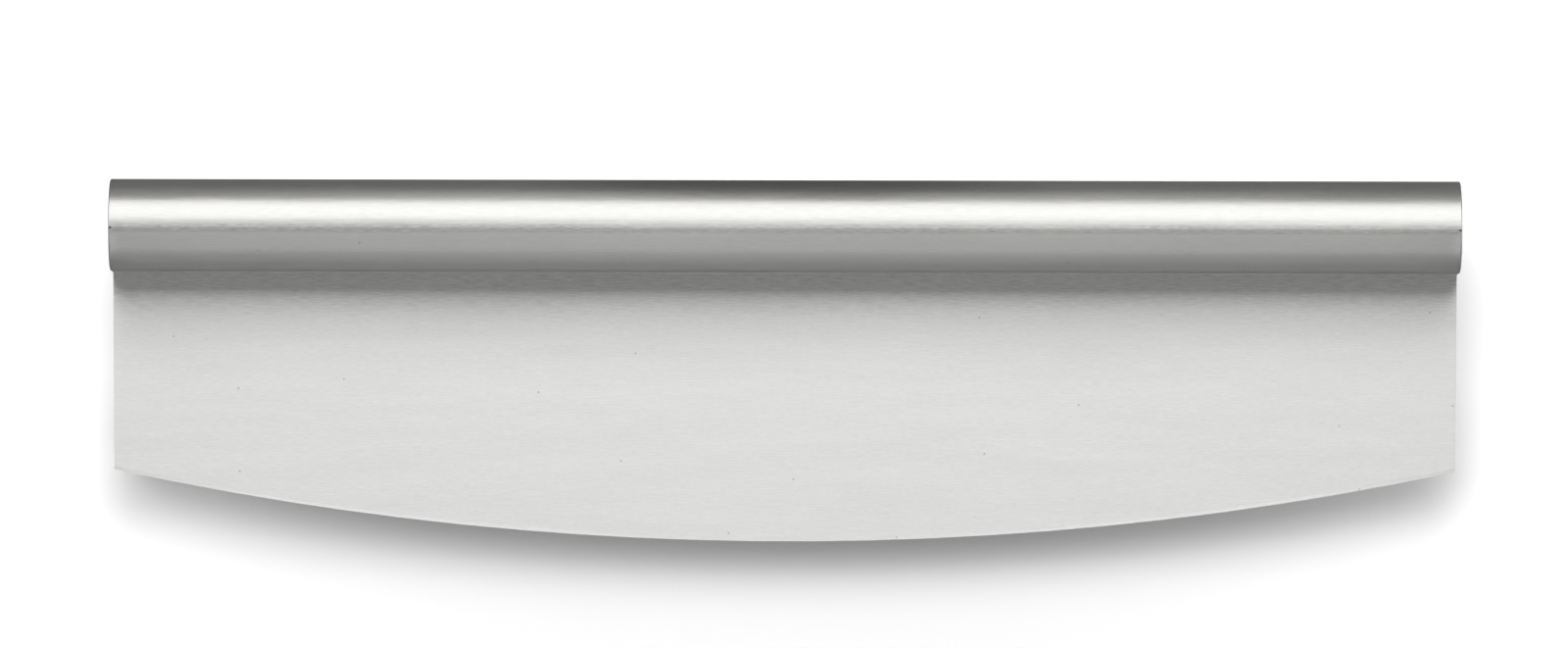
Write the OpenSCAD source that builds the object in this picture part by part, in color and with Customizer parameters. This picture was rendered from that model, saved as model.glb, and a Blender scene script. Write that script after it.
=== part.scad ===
// Rocking pizza knife: a steel sheet blade with a curved edge, welded along a round tube handle.
// It lies on its side, as it rests on a table: the tube and the middle of the edge touch z = 0.
// X runs along the handle, the cutting edge points to -Y, and the origin is the middle of the footprint.

/* [Handle] */
// Outer diameter of the handle tube
handle_d = 25; // [20:0.5:34]
// Length of the handle tube
handle_len = 367; // [200:1:500]
// Wall of the handle tube
tube_wall = 1.2; // [1.1:0.1:2.5]
// Rounding on the outer rim of each tube end
rim_r = 0.4; // [0.1:0.05:0.5]
// Width of the tube's lengthwise seam
seam_w = 0.5; // [0.3:0.1:1.5]
// Length at each end of the seam that the weld leaves open, as a small nick
seam_nick = 0.9; // [0.3:0.1:3]
// Angle round the tube from the blade to the seam
seam_angle = 94; // [60:1:150]

/* [End caps] */
// Thickness of each end cap
cap_t = 2; // [1.5:0.1:5]
// Clearance between a cap's rim and the tube's bore
cap_fit = 0.05; // [0:0.01:0.2]
// Depth of the weld groove round each cap
cap_groove = 0.6; // [0.2:0.05:0.6]

/* [Blade] */
// Distance that the blade stops short of each end of the tube
blade_inset = 0.75; // [0.6:0.05:40]
// Distance from the tube down to the middle of the cutting edge
blade_drop = 74.2; // [45:0.1:120]
// Radius of the curved cutting edge
edge_r = 867; // [700:1:2000]
// Thickness of the blade sheet
blade_t = 1.5; // [1.2:0.1:3]
// Width of the ground bevel on each face
bevel_w = 1; // [0.5:0.1:6]
// Thickness left at the cutting edge
edge_land = 0.1; // [0.05:0.05:0.5]
// Rounding of the two lower corners
corner_r = 0.6; // [0.3:0.1:8]

/* [Blade weld] */
// Leg of the ground weld between blade and tube
weld_leg = 0.4; // [0.2:0.05:0.5]
// Depth of the weld's toe below the blade's face
weld_dip = 0.02; // [0.01:0.01:0.1]
// Radius of the hollow that is ground along the weld
weld_hollow_r = 0.6; // [0.5:0.05:2]

/* [Hidden] */

// Steel as it looks on each piece
tube_steel = [0.66, 0.66, 0.65];
blade_steel = [0.78, 0.78, 0.77];
weld_steel = [0.56, 0.56, 0.55];

// Facets round the tube, round its seat on the blade, round the cutting arc and round a small rounding
fn_tube = 128;
fn_seat = 1440;
fn_arc = 1440;
fn_small = 48;
// Overshoot that makes each cut pass cleanly through what it cuts
over = 1;
// How far a corner's rounding reaches past the side and the edge, so that it crosses them cleanly
corner_lap = 0.01;

handle_r = handle_d / 2;
bore_r = handle_r - tube_wall;
blade_w = handle_len - 2 * blade_inset;
// Distance from the handle's axis to the middle of the cutting edge
edge_reach = handle_r + blade_drop;
// Centre of the cutting arc, on the far side of the handle
arc_y = edge_r - edge_reach;
half_t = blade_t / 2;
// Half the thickness of the blade's root where it meets the tube, between the two weld grooves
root_half = half_t - weld_leg;
// Toe of the weld just below the blade's face and on the tube, as [towards the back, up]
toe_on_blade = [-handle_r - weld_leg + weld_dip, half_t - weld_dip];
toe_on_tube = [-sqrt(pow(handle_r, 2) - pow(half_t + weld_leg, 2)), half_t + weld_leg];

// The knife lies on the tube and on the lower shoulder of the bevel, which sets its tilt
shoulder_reach = edge_reach - bevel_w;
rest_tilt = asin(handle_r / norm([shoulder_reach, half_t])) - atan2(half_t, shoulder_reach);
// How far the edge reaches over the table from the handle's axis
front_reach = edge_reach * cos(rest_tilt) + edge_land / 2 * sin(rest_tilt);
axis_y = (front_reach - handle_r) / 2;

// From the knife's own frame, with the handle's axis on X and the blade flat, to where it rests
module at_rest() {
    translate([0, axis_y, handle_r])
        rotate([rest_tilt, 0, 0])
            children();
}

// A section drawn with its first axis towards the back and its second upwards, run along the handle
module along_handle(length) {
    rotate([90, 0, 90])
        linear_extrude(length, center = true)
            children();
}

// A solid of revolution drawn as [radius, distance along the handle]
module round_handle() {
    rotate([0, 90, 0])
        rotate_extrude($fn = fn_tube)
            children();
}

// Half of the wall's section, from the middle of the tube to its +X end
module wall_half_section() {
    end = handle_len / 2;
    difference() {
        translate([bore_r, -over])
            square([tube_wall, end + over]);
        // Rounded outer rim
        translate([handle_r - rim_r, end - rim_r])
            difference() {
                square(rim_r + over);
                circle(rim_r, $fn = fn_small);
            }
        // Mouth opened for the cap weld
        polygon([
            [bore_r - over, end - cap_groove - over],
            [bore_r + cap_groove + over, end + over],
            [bore_r - over, end + over],
        ]);
    }
}

// The lengthwise slit of the seam, through the tube's wall
module seam_slit(length) {
    rotate([90 - seam_angle, 0, 0])
        translate([-length / 2, -seam_w / 2, bore_r / 2])
            cube([length, seam_w, handle_r]);
}

module handle_tube() {
    color(tube_steel)
        at_rest()
            difference() {
                round_handle() {
                    wall_half_section();
                    mirror([0, 1]) wall_half_section();
                }
                seam_slit(handle_len + 2 * over);
            }
}

// Weld in the seam, flush with both sides of the wall
module handle_seam_weld() {
    color(weld_steel)
        at_rest()
            intersection() {
                round_handle()
                    translate([bore_r, -handle_len / 2])
                        square([tube_wall, handle_len]);
                seam_slit(handle_len - 2 * seam_nick);
            }
}

// The cap at the +X end: a disc with its outer rim bevelled for the weld
module end_cap() {
    rim = bore_r - cap_fit;
    face = handle_len / 2;
    color(tube_steel)
        round_handle()
            polygon([
                [0, face - cap_t],
                [rim, face - cap_t],
                [rim, face - cap_groove],
                [rim - cap_groove, face],
                [0, face],
            ]);
}

module end_cap_left() {
    at_rest() mirror([1, 0, 0]) end_cap();
}

module end_cap_right() {
    at_rest() end_cap();
}

// The ring weld at the +X end, which fills the groove between cap and tube
module cap_weld() {
    rim = bore_r - cap_fit;
    face = handle_len / 2;
    color(weld_steel)
        round_handle()
            polygon([
                [rim - cap_groove, face],
                [rim, face - cap_groove],
                [bore_r, face - cap_groove],
                [bore_r + cap_groove, face],
            ]);
}

module cap_weld_left() {
    at_rest() mirror([1, 0, 0]) cap_weld();
}

module cap_weld_right() {
    at_rest() cap_weld();
}

// Section of the blade across the handle, with a weld groove sloping in to its root on each face
module blade_section() {
    polygon([
        [-handle_r + over, root_half / 2],
        [-handle_r + root_half / 2, root_half / 2],
        [-handle_r - weld_leg, half_t],
        [-edge_reach - over, half_t],
        [-edge_reach - over, -half_t],
        [-handle_r - weld_leg, -half_t],
        [-handle_r + root_half / 2, -root_half / 2],
        [-handle_r + over, -root_half / 2],
    ]);
}

// Disc whose rim is the cutting edge, ground from both faces
module edge_disc() {
    shoulder = edge_r - bevel_w;
    translate([0, arc_y, 0])
        rotate_extrude($fn = fn_arc)
            polygon([
                [0, -half_t],
                [shoulder, -half_t],
                [edge_r, -edge_land / 2],
                [edge_r, edge_land / 2],
                [shoulder, half_t],
                [0, half_t],
            ]);
}

// What is ground away outside the rounding of the corner on the +X side
module corner_cut() {
    inset = corner_r - corner_lap;
    across = blade_w / 2 - inset;
    centre = [across, arc_y - sqrt(pow(edge_r - inset, 2) - pow(across, 2))];
    // Direction from the middle of the cutting arc to the middle of the rounding
    outward = (centre - [0, arc_y]) / (edge_r - inset);
    translate([0, 0, -blade_t])
        linear_extrude(2 * blade_t)
            difference() {
                polygon([
                    centre,
                    centre + [corner_r + over, 0],
                    centre + [corner_r + over, -2 * corner_r - over],
                    centre + (corner_r + over) * outward,
                ]);
                translate(centre) circle(corner_r, $fn = fn_small);
            }
}

// The tube's outside, which the blade's top edge and its welds are coped to
module tube_seat() {
    along_handle(handle_len) circle(handle_r, $fn = fn_seat);
}

module blade() {
    color(blade_steel)
        at_rest()
            difference() {
                intersection() {
                    edge_disc();
                    along_handle(blade_w) blade_section();
                }
                tube_seat();
                corner_cut();
                mirror([1, 0, 0]) corner_cut();
            }
}

// Section of the weld on the upper face: it fills the groove and is ground to a hollow fillet
module weld_section() {
    chord = toe_on_tube - toe_on_blade;
    rise = sqrt(pow(weld_hollow_r, 2) - pow(norm(chord) / 2, 2));
    hollow = (toe_on_tube + toe_on_blade) / 2 + rise * [-chord[1], chord[0]] / norm(chord);
    top = toe_on_tube[1] + weld_leg / 4;
    difference() {
        polygon([
            [-handle_r - weld_leg, half_t],
            [-handle_r + root_half / 2, root_half / 2],
            [-handle_r + over, root_half / 2],
            [-handle_r + over, top],
            [-handle_r - weld_leg, top],
        ]);
        translate(hollow) circle(weld_hollow_r, $fn = fn_small);
    }
}

// Seen from above, the weld runs round both ends of the blade and tapers off along its sides
module weld_plan() {
    tip = blade_w / 2 + weld_leg;
    polygon([
        [-tip, -handle_r + over],
        [-tip, -handle_r],
        [-blade_w / 2, -handle_r - weld_leg],
        [blade_w / 2, -handle_r - weld_leg],
        [tip, -handle_r],
        [tip, -handle_r + over],
    ]);
}

// The part of the weld that goes round the blade's +X end
module weld_return() {
    translate([blade_w / 2, -handle_r - weld_leg, 0])
        cube([weld_leg, weld_leg + over, half_t]);
}

module blade_weld() {
    color(weld_steel)
        intersection() {
            linear_extrude(handle_r) weld_plan();
            difference() {
                union() {
                    along_handle(blade_w + 2 * weld_leg) weld_section();
                    weld_return();
                    mirror([1, 0, 0]) weld_return();
                }
                tube_seat();
            }
        }
}

module blade_weld_front() {
    at_rest() blade_weld();
}

module blade_weld_back() {
    at_rest() mirror([0, 0, 1]) blade_weld();
}

handle_tube();
handle_seam_weld();
end_cap_left();
end_cap_right();
cap_weld_left();
cap_weld_right();
blade();
blade_weld_front();
blade_weld_back();
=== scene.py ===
"""Rocking pizza knife of brushed steel, dressed for its studio picture.

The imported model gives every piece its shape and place. This script gives each piece its
finish, builds the studio round the knife, and sets the camera above it.
"""

import logging
import math
from dataclasses import dataclass
from enum import Enum

import bpy
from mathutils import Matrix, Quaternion, Vector


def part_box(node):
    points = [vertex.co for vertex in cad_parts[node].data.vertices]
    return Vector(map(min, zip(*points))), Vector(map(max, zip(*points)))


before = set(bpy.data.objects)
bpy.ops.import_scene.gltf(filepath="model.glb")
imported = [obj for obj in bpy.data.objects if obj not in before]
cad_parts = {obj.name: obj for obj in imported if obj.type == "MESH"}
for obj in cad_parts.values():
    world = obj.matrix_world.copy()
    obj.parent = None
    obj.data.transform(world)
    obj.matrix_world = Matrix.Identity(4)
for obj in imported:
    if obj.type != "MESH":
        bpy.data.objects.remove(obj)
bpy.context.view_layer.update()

LOG = logging.getLogger("pizza_knife")
MM = 0.001
WHITE = (1.0, 1.0, 1.0, 1.0)

# The knife's pieces, by what they belong to, and the board's own name
TUBE_PIECES = ("handle_tube", "handle_seam_weld")
CAPS = ("end_cap_left", "end_cap_right")
CAP_WELDS = ("cap_weld_left", "cap_weld_right")
BLADE_SHEET = ("blade",)
BLADE_WELDS = ("blade_weld_front", "blade_weld_back")
HANDLE_PIECES = TUBE_PIECES + CAPS + CAP_WELDS
BLADE_PIECES = BLADE_SHEET + BLADE_WELDS
BOARD = ("board",)

# How strong each finer layer of the hair lines is beside the one before it
FINER_LINES = 0.6
# Share of a pit's size that is fully dark
PIT_CORE = 0.5

# What feeds a node's input: another node's output, a number, or a colour or direction
Feed = bpy.types.NodeSocket | float | tuple[float, ...]


class Layout(Enum):
    """How the brush marks run over a piece."""

    ROUND_TUBE = "marks along a round tube"
    FLAT_SHEET = "marks along a flat sheet"
    END_DISC = "marks straight across an end"


class NodeBench:
    """Adds shader nodes to one tree and wires them."""

    def __init__(self, tree: bpy.types.NodeTree) -> None:
        """Takes the tree that the nodes go into."""
        self.tree = tree

    def add(self, kind: str, inputs: dict[str | int, Feed] | None = None,
            **settings: object) -> bpy.types.Node:
        """Adds one node.

        Args:
            kind: The node's type, without the word ShaderNode in front.
            inputs: For each input's name or number, what feeds it.
            **settings: The node's own settings.

        Returns:
            The new node.
        """
        node = self.tree.nodes.new("ShaderNode" + kind)
        for name, value in settings.items():
            setattr(node, name, value)
        for name, value in (inputs or {}).items():
            self.feed(node.inputs[name], value)
        return node

    def feed(self, socket: bpy.types.NodeSocket, value: Feed) -> None:
        """Links an input to another node's output, or sets its plain value.

        Args:
            socket: The input.
            value: The other node's output, or the plain value.
        """
        if isinstance(value, bpy.types.NodeSocket):
            self.tree.links.new(value, socket)
        else:
            socket.default_value = value

    def math(self, operation: str, *terms: Feed) -> bpy.types.NodeSocket:
        """Adds a Math node.

        Args:
            operation: The Math node's operation.
            *terms: Up to three numbers or outputs of other nodes.

        Returns:
            The result's socket.
        """
        return self.add("Math", dict(enumerate(terms)), operation=operation).outputs[0]

    def remap(self, value: Feed, low: Feed, high: Feed, to_low: Feed, to_high: Feed,
              smooth: bool = False) -> bpy.types.NodeSocket:
        """Maps a value from one range to another and holds it there.

        Args:
            value: What is mapped.
            low: Start of the range that is read.
            high: End of the range that is read.
            to_low: What the start becomes.
            to_high: What the end becomes.
            smooth: Whether the change eases in and out.

        Returns:
            The mapped value's socket.
        """
        node = self.add("MapRange", {"Value": value, "From Min": low, "From Max": high,
                                     "To Min": to_low, "To Max": to_high},
                        interpolation_type="SMOOTHSTEP" if smooth else "LINEAR")
        return node.outputs[0]

    def noise(self, place: bpy.types.NodeSocket, detail: Feed, finer: float) -> bpy.types.NodeSocket:
        """Adds a noise pattern.

        Args:
            place: The socket with the coordinates.
            detail: How many finer layers are added.
            finer: How strong each finer layer is beside the one before it.

        Returns:
            The socket with the pattern's value.
        """
        node = self.add("TexNoise", {"Vector": place, "Scale": 1.0, "Detail": detail, "Roughness": finer})
        return node.outputs["Fac"]


@dataclass(frozen=True)
class GroupSocket:
    """One named number that goes into a node group or comes out of it."""

    name: str
    default: float = 0.0


class EffectGroup:
    """A shader node group that several finishes share."""

    def __init__(self, name: str, inputs: list[GroupSocket], outputs: list[GroupSocket]) -> None:
        """Makes the empty group with its sockets.

        Args:
            name: The group's name.
            inputs: What the group takes.
            outputs: What the group gives.
        """
        self.tree = bpy.data.node_groups.new(name, "ShaderNodeTree")
        for side, sockets in (("INPUT", inputs), ("OUTPUT", outputs)):
            for item in sockets:
                made = self.tree.interface.new_socket(name=item.name, in_out=side,
                                                      socket_type="NodeSocketFloat")
                if side == "INPUT":
                    made.default_value = item.default
        self.source = self.tree.nodes.new("NodeGroupInput")
        self.sink = self.tree.nodes.new("NodeGroupOutput")
        self.bench = NodeBench(self.tree)

    def give(self, name: str) -> bpy.types.NodeSocket:
        """The socket inside the group that brings one of its inputs."""
        return self.source.outputs[name]

    def put(self, name: str, value: bpy.types.NodeSocket) -> None:
        """Sends a value to one of the group's outputs."""
        self.tree.links.new(value, self.sink.inputs[name])

    def lay_out(self) -> bpy.types.NodeSocket:
        """Joins the group's place along and across, and its seed, into coordinates.

        Returns:
            The socket with the coordinates, in lengths and widths of one mark.
        """
        along = self.bench.math("DIVIDE", self.give("Along"), self.give("Length"))
        across = self.bench.math("DIVIDE", self.give("Across"), self.give("Width"))
        place = self.bench.add("CombineXYZ", {"X": along, "Y": across, "Z": self.give("Seed")})
        return place.outputs[0]

    def place(self, bench: NodeBench, inputs: dict[str, Feed]) -> bpy.types.Node:
        """Places the group in a material.

        Args:
            bench: The material's bench.
            inputs: For each input's name, what feeds it.

        Returns:
            The group's node.
        """
        node = bench.tree.nodes.new("ShaderNodeGroup")
        node.node_tree = self.tree
        for name, value in inputs.items():
            bench.feed(node.inputs[name], value)
        return node


def build_brush_marks() -> EffectGroup:
    """Builds the group for the hair lines that a grinding belt leaves.

    Returns:
        The group. It takes places in metres along and across the marks, and gives the height of
        the marks in metres and a value for lighter and darker lines, from -1 to 1.
    """
    group = EffectGroup(
        "brush_marks",
        [GroupSocket("Along"), GroupSocket("Across"), GroupSocket("Length", 4 * MM),
         GroupSocket("Width", 0.3 * MM), GroupSocket("Depth", 0.001 * MM), GroupSocket("Detail", 1.0),
         GroupSocket("Seed")],
        [GroupSocket("Height"), GroupSocket("Lines")],
    )
    bench = group.bench
    lines = bench.noise(group.lay_out(), group.give("Detail"), FINER_LINES)
    centred = bench.math("MULTIPLY_ADD", lines, 2.0, -1.0)
    group.put("Height", bench.math("MULTIPLY", centred, group.give("Depth")))
    group.put("Lines", centred)
    return group


def build_pits() -> EffectGroup:
    """Builds the group for tiny dark pits, a few of them far apart.

    Returns:
        The group. It takes places in metres, with the pits' spacing as its length and its width,
        and gives a mask that is 1 in a pit.
    """
    group = EffectGroup(
        "tiny_pits",
        [GroupSocket("Along"), GroupSocket("Across"), GroupSocket("Length", 20 * MM),
         GroupSocket("Width", 20 * MM), GroupSocket("Size", 0.3 * MM), GroupSocket("Share", 0.5),
         GroupSocket("Seed")],
        [GroupSocket("Mask")],
    )
    bench = group.bench
    cells = bench.add("TexVoronoi", {"Vector": group.lay_out(), "Scale": 1.0}, voronoi_dimensions="2D")
    pick = bench.add("SeparateColor", {0: cells.outputs["Color"]}).outputs[0]
    size = bench.math("DIVIDE", group.give("Size"), group.give("Length"))
    near = bench.remap(cells.outputs["Distance"], bench.math("MULTIPLY", size, PIT_CORE), size, 1.0, 0.0)
    chosen = bench.math("LESS_THAN", pick, group.give("Share"))
    group.put("Mask", bench.math("MULTIPLY", near, chosen))
    return group


@dataclass(frozen=True)
class Marks:
    """One set of marks, in millimetres, and how much it shades and roughens the steel."""

    length: float
    width: float
    seed: float
    depth: float = 0.0
    shade: float = 0.0
    roughen: float = 0.0
    detail: float = 1.0


@dataclass(frozen=True)
class Pits:
    """Tiny dark pits: spacing and size in millimetres, how many places hold one, and how dark."""

    spacing: float
    size: float
    share: float
    dark: float
    seed: float


@dataclass(frozen=True)
class Tools:
    """What every finish is built with: the shared effects, and where the tube and the blade lie.

    The seam's turn round the tube and the blade's lean are in radians, the rest in metres.
    """

    brush: EffectGroup
    pits: EffectGroup
    tube_y: float
    tube_z: float
    tube_radius: float
    tube_half_length: float
    seam_turn: float
    blade_lean: float

    @classmethod
    def measure(cls) -> "Tools":
        """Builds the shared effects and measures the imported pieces.

        Returns:
            What every finish is built with.
        """
        low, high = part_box("handle_tube")
        centre = (low + high) / 2
        radius = (high.z - low.z) / 2
        seam_low, seam_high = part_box("handle_seam_weld")
        blade_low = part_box("blade")[0]
        seam_turn = math.asin(((seam_low.y + seam_high.y) / 2 - centre.y) / radius)
        lean = math.atan2(centre.z - blade_low.z, centre.y - blade_low.y)
        return cls(build_brush_marks(), build_pits(), centre.y, centre.z, radius,
                   (high.x - low.x) / 2, seam_turn, lean)


@dataclass(frozen=True)
class Spot:
    """The place on a surface, as sockets in metres: in space, and along and across the marks."""

    x: bpy.types.NodeSocket
    y: bpy.types.NodeSocket
    z: bpy.types.NodeSocket
    along: bpy.types.NodeSocket
    across: bpy.types.NodeSocket


@dataclass(frozen=True)
class BrushedSteel:
    """Steel that was ground with a belt, so that fine marks run along it.

    The stretch is how much the marks draw a highlight out across them.
    """

    name: str
    layout: Layout
    colour: tuple[float, float, float]
    roughness: float
    stretch: float
    marks: tuple[Marks, ...]
    pits: Pits | None = None

    def build(self, tools: Tools) -> bpy.types.Material:
        """Builds the material.

        Args:
            tools: The shared effects and the places that were measured.

        Returns:
            The material.
        """
        material = bpy.data.materials.new(self.name)
        material.use_nodes = True
        material.node_tree.nodes.clear()
        bench = NodeBench(material.node_tree)
        spot = self.find_spot(bench, tools)
        height, shade, roughness = self.brush_over(bench, tools, spot)
        shade = self.shade_more(bench, tools, spot, shade)
        roughness = self.smooth_more(bench, tools, spot, roughness)
        bump = bench.add("Bump", {"Height": height, "Distance": 1.0, "Strength": 1.0})
        tint = bench.add("VectorMath", {0: self.colour, "Scale": shade}, operation="SCALE")
        tangent = bench.add("Tangent", direction_type="RADIAL", axis="X")
        shader = bench.add("BsdfPrincipled", {
            "Base Color": tint.outputs[0], "Metallic": 1.0, "Roughness": roughness,
            "Anisotropic": self.stretch, "Normal": bump.outputs[0], "Tangent": tangent.outputs[0]})
        bench.add("OutputMaterial", {"Surface": shader.outputs[0]})
        return material

    def find_spot(self, bench: NodeBench, tools: Tools) -> Spot:
        """Works out where a point lies along and across the marks.

        Args:
            bench: The material's bench.
            tools: The shared effects and the places that were measured.

        Returns:
            The place.
        """
        x, y, z = bench.add("SeparateXYZ", {0: bench.add("TexCoord").outputs["Object"]}).outputs
        if self.layout is Layout.ROUND_TUBE:
            turn = bench.math("ARCTAN2", bench.math("SUBTRACT", y, tools.tube_y),
                              bench.math("SUBTRACT", z, tools.tube_z))
            return Spot(x, y, z, x, bench.math("MULTIPLY", turn, tools.tube_radius))
        if self.layout is Layout.FLAT_SHEET:
            return Spot(x, y, z, x, y)
        return Spot(x, y, z, y, z)

    def brush_over(self, bench: NodeBench, tools: Tools, spot: Spot) -> tuple[Feed, Feed, Feed]:
        """Lays the marks and the pits over the surface.

        Args:
            bench: The material's bench.
            tools: The shared effects and the places that were measured.
            spot: The place on the surface.

        Returns:
            The height in metres, the factor that shades the colour, and the roughness.
        """
        height, shade, roughness = 0.0, 1.0, self.roughness
        for marks in self.marks:
            node = self.lay_marks(bench, tools, spot, marks)
            height = bench.math("ADD", node.outputs["Height"], height)
            shade = bench.math("MULTIPLY_ADD", node.outputs["Lines"], marks.shade, shade)
            if marks.roughen:
                roughness = bench.math("MULTIPLY_ADD", node.outputs["Lines"], marks.roughen, roughness)
        if self.pits:
            spacing = self.pits.spacing * MM
            node = tools.pits.place(bench, {
                "Along": spot.along, "Across": spot.across, "Length": spacing, "Width": spacing,
                "Size": self.pits.size * MM, "Share": self.pits.share, "Seed": self.pits.seed})
            darker = bench.math("MULTIPLY_ADD", node.outputs["Mask"], -self.pits.dark, 1.0)
            shade = bench.math("MULTIPLY", shade, darker)
        return height, shade, roughness

    def lay_marks(self, bench: NodeBench, tools: Tools, spot: Spot, marks: Marks) -> bpy.types.Node:
        """Lays one set of marks.

        Args:
            bench: The material's bench.
            tools: The shared effects and the places that were measured.
            spot: The place on the surface.
            marks: The set of marks.

        Returns:
            The node that gives the marks' height and lines.
        """
        return tools.brush.place(bench, {
            "Along": spot.along, "Across": spot.across, "Length": marks.length * MM,
            "Width": marks.width * MM, "Depth": marks.depth * MM, "Detail": marks.detail,
            "Seed": marks.seed})

    def shade_more(self, bench: NodeBench, tools: Tools, spot: Spot, shade: Feed) -> Feed:
        """Gives the shade as it is; a finish with places of its own shades them here."""
        return shade

    def smooth_more(self, bench: NodeBench, tools: Tools, spot: Spot, roughness: Feed) -> Feed:
        """Gives the roughness as it is; a finish with places of its own changes them here."""
        return roughness


@dataclass(frozen=True)
class TubeSteel(BrushedSteel):
    """The tube's steel, with its ground seam, a painted highlight on its ends, and a rougher corner by the
    blade with painted shade.

    The widths, the reaches and how far the corner is full are in millimetres. The seam's core is
    a share of its width; the seam's darkening, the painted highlight on the ends and the painted
    shade in the corner are shares of the shade, and the corner adds to the roughness.
    """

    seam_width: float = 3.3
    seam_core: float = 0.5
    seam_marks: Marks = Marks(2.6, 0.22, 11.0, shade=0.36, detail=2.0)
    seam_dark: float = 0.1
    end_reach: float = 4.0
    # Painted highlight: how much lighter the front of each end is painted
    end_painted_highlight: float = 0.14
    corner_full: float = 8.0
    corner_reach: float = 15.5
    # Painted shade: how much darker the corner beside the blade is painted
    corner_painted_shade: float = 0.36
    corner_roughen: float = 0.25

    def find_corner(self, bench: NodeBench, tools: Tools, spot: Spot) -> bpy.types.NodeSocket:
        """Masks the corner beside the blade, which is made rougher and gets painted shade.

        Args:
            bench: The material's bench.
            tools: The shared effects and the places that were measured.
            spot: The place on the surface.

        Returns:
            The mask.
        """
        weld = -(math.pi / 2 + tools.blade_lean) * tools.tube_radius
        off = bench.math("ABSOLUTE", bench.math("SUBTRACT", spot.across, weld))
        return bench.remap(off, self.corner_full * MM, self.corner_reach * MM, 1.0, 0.0, True)

    def shade_more(self, bench: NodeBench, tools: Tools, spot: Spot, shade: Feed) -> Feed:
        """Streaks the ground stripe along the seam, paints a highlight on the ends and paints shade into the
        corner.

        Args:
            bench: The material's bench.
            tools: The shared effects and the places that were measured.
            spot: The place on the surface.
            shade: The factor so far.

        Returns:
            The new factor.
        """
        seam = tools.seam_turn * tools.tube_radius
        half = self.seam_width * MM / 2
        off = bench.math("ABSOLUTE", bench.math("SUBTRACT", spot.across, seam))
        stripe = bench.remap(off, self.seam_core * half, half, 1.0, 0.0, True)
        lines = self.lay_marks(bench, tools, spot, self.seam_marks).outputs["Lines"]
        streaks = bench.math("MULTIPLY_ADD", lines, self.seam_marks.shade, -self.seam_dark)
        streaked = bench.math("MULTIPLY_ADD", streaks, stripe, shade)
        # Painted highlight: the last few millimetres at each end are made lighter in front
        end = bench.remap(bench.math("ABSOLUTE", spot.x), tools.tube_half_length - self.end_reach * MM,
                          tools.tube_half_length, 0.0, self.end_painted_highlight, True)
        front = bench.remap(spot.across, seam - self.seam_width * MM, seam, 1.0, 0.0, True)
        with_end_highlight = bench.math("MULTIPLY_ADD", end, front, streaked)
        # Painted shade: the corner beside the blade is darkened as if shaded by the blade
        corner_shade_factor = bench.math("MULTIPLY_ADD", self.find_corner(bench, tools, spot), -self.corner_painted_shade, 1.0)
        return bench.math("MULTIPLY", with_end_highlight, corner_shade_factor)

    def smooth_more(self, bench: NodeBench, tools: Tools, spot: Spot, roughness: Feed) -> Feed:
        """Leaves the corner beside the blade rougher than the rest.

        Args:
            bench: The material's bench.
            tools: The shared effects and the places that were measured.
            spot: The place on the surface.
            roughness: The roughness so far.

        Returns:
            The roughness everywhere.
        """
        corner = self.find_corner(bench, tools, spot)
        return bench.math("MULTIPLY_ADD", corner, self.corner_roughen, roughness)


@dataclass(frozen=True)
class BladeSteel(BrushedSteel):
    """The blade's steel, with coarser marks beside the weld and a smoother ground bevel.

    The reach is in millimetres. The two facings are cosines of the angle to the blade's flats,
    where the bevel's finish ends and where that of the flats begins.
    """

    weld_reach: float = 22.0
    weld_marks: Marks = Marks(4.0, 0.3, 12.0, shade=0.28, detail=2.0)
    bevel_roughness: float = 0.3
    bevel_facing: float = 0.9
    flat_facing: float = 0.97

    def shade_more(self, bench: NodeBench, tools: Tools, spot: Spot, shade: Feed) -> Feed:
        """Lays coarser marks where the blade was ground again beside its weld.

        Args:
            bench: The material's bench.
            tools: The shared effects and the places that were measured.
            spot: The place on the surface.
            shade: The factor so far.

        Returns:
            The new factor.
        """
        weld = tools.tube_y - tools.tube_radius
        near = bench.remap(spot.y, weld - self.weld_reach * MM, weld, 0.0, 1.0, True)
        lines = self.lay_marks(bench, tools, spot, self.weld_marks).outputs["Lines"]
        return bench.math("MULTIPLY_ADD", bench.math("MULTIPLY", lines, near), self.weld_marks.shade, shade)

    def smooth_more(self, bench: NodeBench, tools: Tools, spot: Spot, roughness: Feed) -> Feed:
        """Makes the bevel smoother than the flats.

        Args:
            bench: The material's bench.
            tools: The shared effects and the places that were measured.
            spot: The place on the surface.
            roughness: The flats' roughness.

        Returns:
            The roughness everywhere.
        """
        flat = (0.0, -math.sin(tools.blade_lean), math.cos(tools.blade_lean))
        facing = bench.add("VectorMath", {0: bench.add("TexCoord").outputs["Normal"], 1: flat},
                           operation="DOT_PRODUCT").outputs["Value"]
        return bench.remap(bench.math("ABSOLUTE", facing), self.bevel_facing, self.flat_facing,
                           self.bevel_roughness, roughness)


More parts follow.
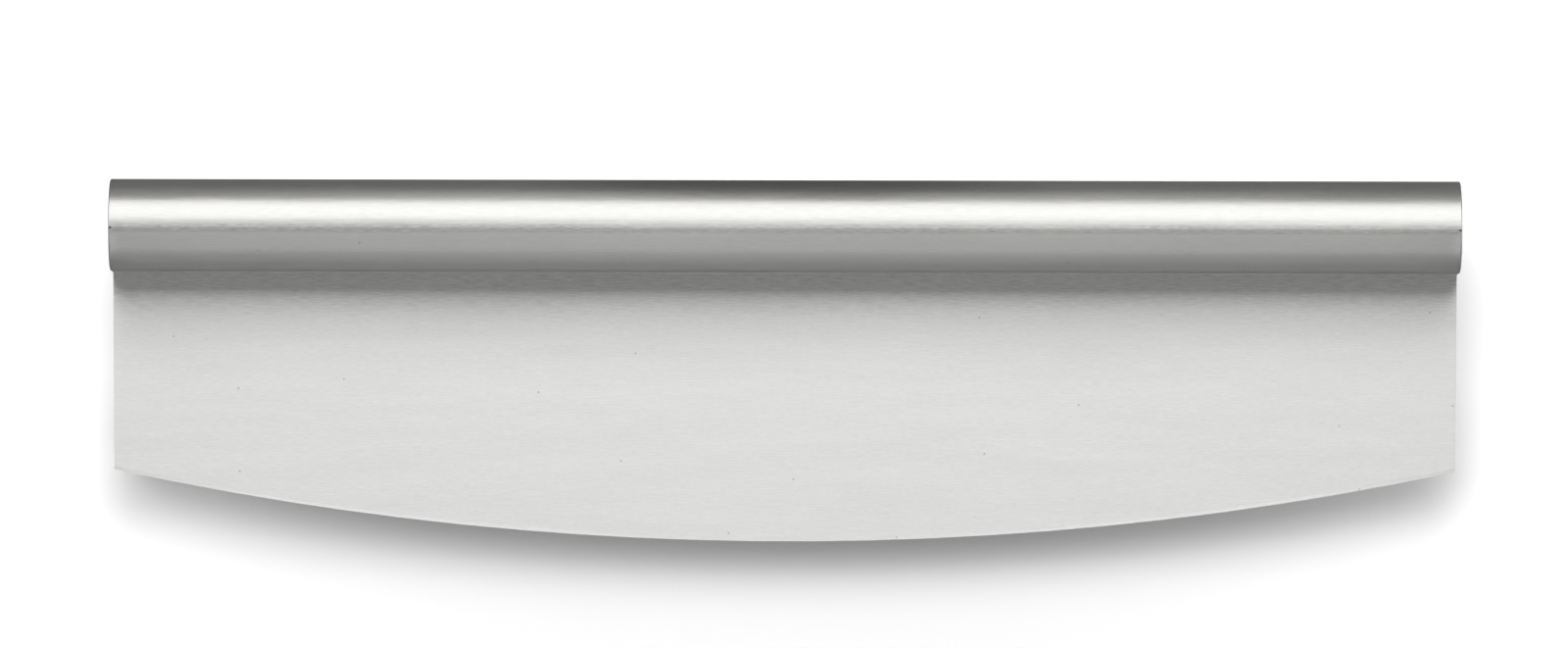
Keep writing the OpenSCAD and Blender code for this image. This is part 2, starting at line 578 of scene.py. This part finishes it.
# In each set of marks, the length, the width and the seed come first
TUBE_STEEL = TubeSteel(
    "brushed_tube_steel", Layout.ROUND_TUBE, colour=(0.62, 0.62, 0.61), roughness=0.25, stretch=0.8,
    marks=(Marks(3.5, 0.25, 1.0, depth=0.002, shade=0.09, detail=2.0),
           Marks(8.0, 0.8, 2.0, depth=0.004, shade=0.02),
           Marks(25.0, 6.0, 3.0, depth=0.04, shade=0.04, roughen=0.02, detail=2.0),
           Marks(90.0, 30.0, 8.0, shade=0.04, roughen=0.03)),
    pits=Pits(spacing=24.0, size=0.3, share=0.3, dark=0.4, seed=1.0))
BLADE_STEEL = BladeSteel(
    "brushed_blade_steel", Layout.FLAT_SHEET, colour=(0.74, 0.74, 0.735), roughness=0.72, stretch=0.85,
    marks=(Marks(2.2, 0.25, 4.0, depth=0.002, shade=0.07),
           Marks(8.0, 0.35, 5.0, depth=0.001, shade=0.05),
           Marks(50.0, 6.0, 9.0, shade=0.04, detail=2.0)),
    pits=Pits(spacing=25.0, size=0.35, share=0.4, dark=0.3, seed=2.0))
CAP_STEEL = BrushedSteel(
    "brushed_cap_steel", Layout.END_DISC, colour=(0.62, 0.62, 0.61), roughness=0.5, stretch=0.5,
    marks=(Marks(8.0, 0.25, 6.0, depth=0.001, shade=0.08),))
WELD_STEEL = BrushedSteel(
    "ground_weld_steel", Layout.ROUND_TUBE, colour=(0.6, 0.6, 0.59), roughness=0.35, stretch=0.5,
    marks=(Marks(1.5, 0.3, 7.0, depth=0.001, shade=0.15, detail=2.0),))


def put_on(names: tuple[str, ...], finish: BrushedSteel, tools: Tools) -> None:
    """Gives pieces a finish, which is built once and shared.

    Args:
        names: The pieces' names.
        finish: The finish.
        tools: The shared effects and the places that were measured.
    """
    material = bpy.data.materials.get(finish.name) or finish.build(tools)
    for name in names:
        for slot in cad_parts[name].material_slots:
            slot.material = material
        LOG.info("dressed %s in %s", name, material.name)


@dataclass
class Handle:
    """The handle: a round tube with its seam, and a cap and a ring weld at each end."""

    tube_finish: BrushedSteel = TUBE_STEEL
    cap_finish: BrushedSteel = CAP_STEEL
    weld_finish: BrushedSteel = WELD_STEEL

    def dress(self, tools: Tools) -> None:
        """Gives each piece of the handle its finish.

        Args:
            tools: The shared effects and the places that were measured.
        """
        put_on(TUBE_PIECES, self.tube_finish, tools)
        put_on(CAPS, self.cap_finish, tools)
        put_on(CAP_WELDS, self.weld_finish, tools)


@dataclass
class Blade:
    """The blade: the sheet and the weld on each of its faces."""

    sheet_finish: BrushedSteel = BLADE_STEEL
    weld_finish: BrushedSteel = WELD_STEEL

    def dress(self, tools: Tools) -> None:
        """Gives each piece of the blade its finish.

        Args:
            tools: The shared effects and the places that were measured.
        """
        put_on(BLADE_SHEET, self.sheet_finish, tools)
        put_on(BLADE_WELDS, self.weld_finish, tools)


@dataclass(frozen=True)
class Softbox:
    """A soft oblong light that faces the middle of the table and lights only some things.

    Its lowest and highest edges are angles over the knife, from the table behind it at 0, past
    the top at 90, to the table in front of it at 180. The heading swings it round to the left,
    and the turn rolls it on the way it faces. All angles are in degrees, lengths in metres.
    """

    name: str
    lowest: float
    highest: float
    radiance: float
    lights: tuple[str, ...]
    length: float = 3.0
    colour: tuple[float, float, float] = (1.0, 1.0, 1.0)
    distance: float = 1.3
    turn: float = 0.0
    heading: float = 0.0

    def hang(self, board: bpy.types.Object) -> None:
        """Hangs the light.

        Args:
            board: The board, which the light falls on where its name is among what it lights.
        """
        light = bpy.data.lights.new(self.name, "AREA")
        light.shape = "RECTANGLE"
        light.color = self.colour
        middle = math.radians((self.lowest + self.highest) / 2)
        span = math.radians((self.highest - self.lowest) / 2)
        light.size = self.length
        light.size_y = 2 * self.distance * math.tan(span)
        light.energy = self.radiance * math.pi * light.size * light.size_y
        lamp = bpy.data.objects.new(self.name, light)
        behind = Vector((0, self.distance * math.cos(middle), self.distance * math.sin(middle)))
        lamp.location = Quaternion((0, 0, 1), math.radians(self.heading)) @ behind
        facing = Vector(lamp.location).to_track_quat("Z", "Y")
        lamp.rotation_euler = (facing @ Quaternion((0, 0, 1), math.radians(self.turn))).to_euler()
        bpy.context.scene.collection.objects.link(lamp)
        lit = bpy.data.collections.new("lit_by_" + self.name)
        for name in self.lights:
            lit.objects.link(board if name == board.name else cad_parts[name])
        lamp.light_linking.receiver_collection = lit


@dataclass
class Studio:
    """The table and the lights, in metres, with the angles in degrees."""

    # How far the pale board lies below the clear sheet that carries the knife, and how it looks
    board_gap: float = 12 * MM
    board_reach: float = 6.0
    board_shade: float = 0.9
    # How pale the steel mirrors the board, a painted reflection dimmer than the camera sees it, with painted
    # shade darkest behind the knife's middle: in front, behind the knife's middle and behind its ends
    dim_front: float = 0.19
    dim_behind: float = 0.05
    dim_beside: float = 0.1
    # Where these change over: from front to back, and from the middle to the ends
    dim_change: float = 50 * MM
    dim_middle: float = 25 * MM
    dim_reach: float = 80 * MM
    # The sheet lies a hair below the knife, so that the two don't touch
    sheet_sink: float = 0.05 * MM
    sheet_ior: float = 1.45
    # The room's brightness, and how dark it gets low behind the knife, by the angle from straight up
    surround: float = 0.22
    far_dark: float = 0.08
    dark_from: float = 60.0
    dark_to: float = 80.0
    # Name, lowest and highest edge, radiance and what it lights come first
    boxes: tuple[Softbox, ...] = (
        Softbox("handle_box", 27.0, 80.2, 1.5, HANDLE_PIECES, colour=(1.0, 1.0, 0.98), turn=-7.0),
        Softbox("handle_fill", 85.0, 175.0, 0.37, HANDLE_PIECES + BLADE_WELDS, length=0.64),
        Softbox("handle_low_box", 1.0, 20.0, 0.18, HANDLE_PIECES, colour=(1.0, 0.97, 0.84), turn=-7.0),
        Softbox("handle_left_box", 1.0, 26.0, 0.16, HANDLE_PIECES, length=0.12, distance=0.5, heading=10.8),
        Softbox("handle_right_box", 1.0, 26.0, 0.16, HANDLE_PIECES, length=0.12, distance=0.5, heading=-10.8),
        Softbox("blade_box", 24.0, 50.8, 9.3, BLADE_PIECES, length=1.4),
        Softbox("blade_fill", 85.0, 150.0, 0.11, BLADE_SHEET),
        Softbox("edge_fill", 150.0, 178.0, 1.6, BLADE_SHEET, length=0.9),
        Softbox("left_box", 2.0, 50.0, 0.8, HANDLE_PIECES + BLADE_PIECES, length=1.2, heading=90.0),
        Softbox("right_box", 2.0, 50.0, 0.8, HANDLE_PIECES + BLADE_PIECES, length=1.2, heading=-90.0),
        Softbox("board_low_box", 6.0, 14.8, 28.4, BOARD, length=4.0, heading=-2.0),
        Softbox("board_middle_box", 26.9, 44.9, 4.1, BOARD, length=0.88, heading=-3.5),
        Softbox("board_left_box", 44.7, 81.3, 2.34, BOARD, length=1.3, heading=28.0),
        Softbox("board_back_box", 36.6, 62.5, 1.67, BOARD, length=1.87, heading=14.0),
        Softbox("board_right_box", 36.5, 58.4, 1.97, BOARD, length=1.52, heading=-21.0),
        Softbox("board_fill", 100.0, 170.0, 0.34, BOARD),
    )

    def build(self) -> None:
        """Builds the stage and the lights."""
        bpy.context.scene.view_settings.view_transform = "Standard"
        board = self.build_board()
        self.build_clear_sheet()
        for box in self.boxes:
            box.hang(board)
            LOG.info("hung %s", box.name)
        self.build_surround()

    def lay_flat(self, name: str, height: float) -> tuple[bpy.types.Object, NodeBench]:
        """Lays a large flat square under the knife.

        Args:
            name: Name of the square and of its material.
            height: How high it lies.

        Returns:
            The square, and the bench for its material, which is still empty.
        """
        reach = self.board_reach
        mesh = bpy.data.meshes.new(name)
        corners = [(-reach, -reach), (reach, -reach), (reach, reach), (-reach, reach)]
        mesh.from_pydata([(x, y, height) for x, y in corners], [], [(0, 1, 2, 3)])
        square = bpy.data.objects.new(name, mesh)
        bpy.context.scene.collection.objects.link(square)
        material = bpy.data.materials.new(name)
        material.use_nodes = True
        material.node_tree.nodes.clear()
        mesh.materials.append(material)
        LOG.info("laid %s", name)
        return square, NodeBench(material.node_tree)

    def build_board(self) -> bpy.types.Object:
        """Lays the pale board under the knife. The steel mirrors it dimmer than the camera sees it: painted
        shade, darkest behind the knife's middle.

        Returns:
            The board.
        """
        board, bench = self.lay_flat(BOARD[0], -self.board_gap)
        shade = self.board_shade
        pale = bench.add("BsdfDiffuse", {"Color": (shade, shade, shade, 1.0)})
        spot = bench.add("SeparateXYZ", {0: bench.add("TexCoord").outputs["Object"]}).outputs
        # Painted shade seen only in reflections: darkest behind the knife's middle, paler behind its ends and
        # in front
        behind = bench.remap(bench.math("ABSOLUTE", spot[0]), self.dim_middle, self.dim_reach,
                             self.dim_behind, self.dim_beside, True)
        dim_shade = bench.remap(spot[1], -self.dim_change, self.dim_change, self.dim_front, behind, True)
        dim = bench.add("BsdfDiffuse", {"Color": dim_shade})
        seen = bench.add("LightPath").outputs["Is Camera Ray"]
        mix = bench.add("MixShader", {0: seen, 1: dim.outputs[0], 2: pale.outputs[0]})
        bench.add("OutputMaterial", {"Surface": mix.outputs[0]})
        return board

    def build_clear_sheet(self) -> None:
        """Lays the clear sheet that the knife rests on, a little above the board."""
        bench = self.lay_flat("clear_sheet", -self.sheet_sink)[1]
        clear = bench.add("BsdfTransparent")
        gloss = bench.add("BsdfGlossy", {"Roughness": 0.0})
        seen = bench.add("LightPath").outputs["Is Camera Ray"]
        amount = bench.math("MULTIPLY", seen, bench.add("Fresnel", {"IOR": self.sheet_ior}).outputs[0])
        mix = bench.add("MixShader", {0: amount, 1: clear.outputs[0], 2: gloss.outputs[0]})
        bench.add("OutputMaterial", {"Surface": mix.outputs[0]})

    def build_surround(self) -> None:
        """Fills the room with dim light, darker low behind the handle."""
        world = bpy.data.worlds.new("surround")
        bpy.context.scene.world = world
        world.use_nodes = True
        world.node_tree.nodes.clear()
        bench = NodeBench(world.node_tree)
        way = bench.add("SeparateXYZ", {0: bench.add("TexCoord").outputs["Generated"]}).outputs
        lean = bench.math("ARCTAN2", way[1], way[2])
        level = bench.remap(lean, math.radians(self.dark_from), math.radians(self.dark_to),
                            self.surround, self.far_dark, True)
        sky = bench.add("Background", {"Color": WHITE, "Strength": level})
        backdrop = bench.add("Background", {"Color": WHITE, "Strength": 1.0})
        mix = bench.add("MixShader", {0: bench.add("LightPath").outputs["Is Camera Ray"],
                                      1: sky.outputs[0], 2: backdrop.outputs[0]})
        bench.add("OutputWorld", {"Surface": mix.outputs[0]})


@dataclass
class Camera:
    """The camera, straight above the knife, in metres, with its sensor in millimetres."""

    height: float = 3.3
    sensor: float = 36.0
    # How much of the handle's axis plane one pixel of the photograph shows, and that plane's height
    metres_per_pixel: float = 0.2665 * MM
    scale_height: float = 12.5 * MM
    image_width: int = 1600
    # Where it stands over the table, and its small roll in degrees
    aim_x: float = -0.255 * MM
    aim_y: float = 10.1 * MM
    roll: float = 0.12

    def build(self) -> None:
        """Sets the camera up."""
        data = bpy.data.cameras.new("camera")
        data.sensor_width = self.sensor
        field_width = self.metres_per_pixel * self.image_width
        data.lens = self.sensor * (self.height - self.scale_height) / field_width
        camera = bpy.data.objects.new("camera", data)
        camera.location = (self.aim_x, self.aim_y, self.height)
        camera.rotation_euler = (0, 0, math.radians(self.roll))
        bpy.context.scene.collection.objects.link(camera)
        bpy.context.scene.camera = camera
        LOG.info("set the camera %.1f m above the table", self.height)


def main() -> None:
    """Measures the pieces, sets the camera, dresses the handle and the blade, and builds the studio."""
    logging.basicConfig(level=logging.INFO, format="%(message)s")
    tools = Tools.measure()
    Camera().build()
    Handle().dress(tools)
    Blade().dress(tools)
    Studio().build()


if __name__ == "__main__":
    main()
